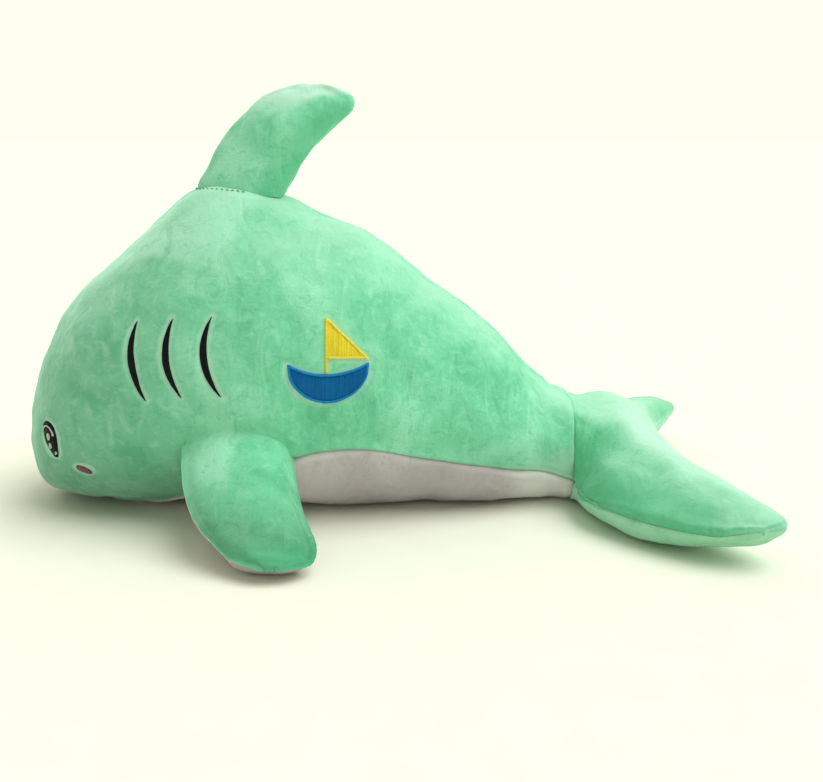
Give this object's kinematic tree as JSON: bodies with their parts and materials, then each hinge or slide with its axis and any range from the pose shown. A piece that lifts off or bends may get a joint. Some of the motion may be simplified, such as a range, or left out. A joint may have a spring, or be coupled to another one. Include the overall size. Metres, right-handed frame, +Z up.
{
  "type": "plush shark",
  "caption": "Stuffed toy shark of short-pile fabric lying on its belly, with soft dorsal, pectoral and tail fins that bend at their sewn roots.",
  "frame": {"origin": "under the middle of the toy, on the surface it lies on", "axes": "nose to -X, tail to +X, +Z up, the animal's left side faces -Y"},
  "size_m": [0.6058, 0.3712, 0.348],
  "materials": {
    "plush_green": "short velvety pile",
    "plush_white": "short velvety pile",
    "plush_pale_green": "short velvety pile",
    "filling": "lofty fibre",
    "thread_black": "satin stitch",
    "thread_grey": "satin stitch",
    "thread_rose": "satin stitch",
    "thread_blue": "satin stitch",
    "thread_yellow": "satin stitch"
  },
  "bodies": {
    "torso": {"body_cover_left": "plush_green", "body_cover_right": "plush_green", "belly_panel": "plush_white", "body_stuffing": "filling", "gill_stitching_left": "thread_black", "gill_stitching_right": "thread_black", "eye_left": "thread_black", "eye_right": "thread_black", "eye_glints_left": "thread_grey", "eye_glints_right": "thread_grey", "cheek_left": "thread_rose", "cheek_right": "thread_rose", "mouth_stitching": "thread_black", "boat_hull": "thread_blue", "boat_sail": "thread_yellow", "boat_mast": "thread_yellow"},
    "dorsal_fin": {"dorsal_cover_left": "plush_green", "dorsal_cover_right": "plush_green", "dorsal_stuffing": "filling"},
    "left_pectoral": {"left_pectoral_upper_cover": "plush_green", "left_pectoral_under_cover": "plush_white", "left_pectoral_stuffing": "filling"},
    "right_pectoral": {"right_pectoral_upper_cover": "plush_green", "right_pectoral_under_cover": "plush_white", "right_pectoral_stuffing": "filling"},
    "tail": {"tail_upper_cover": "plush_green", "tail_under_cover": "plush_pale_green", "tail_stuffing": "filling"}
  },
  "joints": [
    {"name": "dorsal_fin_flop", "type": "hinge", "parent": "torso", "child": "dorsal_fin", "pos_m": [-0.1135, 0, 0.266], "axis": [1, 0, 0], "range_deg": [-25, 25], "stiffness_Nm_per_rad": 1.2},
    {"name": "left_pectoral_flap", "type": "hinge", "parent": "torso", "child": "left_pectoral", "pos_m": [-0.112, -0.094, 0.06], "axis": [-1, 0, 0], "range_deg": [-10, 30], "stiffness_Nm_per_rad": 1.2},
    {"name": "right_pectoral_flap", "type": "hinge", "parent": "torso", "child": "right_pectoral", "pos_m": [-0.112, 0.094, 0.06], "axis": [1, 0, 0], "range_deg": [-10, 30], "stiffness_Nm_per_rad": 1.2},
    {"name": "tail_flap", "type": "hinge", "parent": "torso", "child": "tail", "pos_m": [0.165, 0, 0.0465], "axis": [0, -1, 0], "range_deg": [-15, 20], "stiffness_Nm_per_rad": 4}
  ]
}
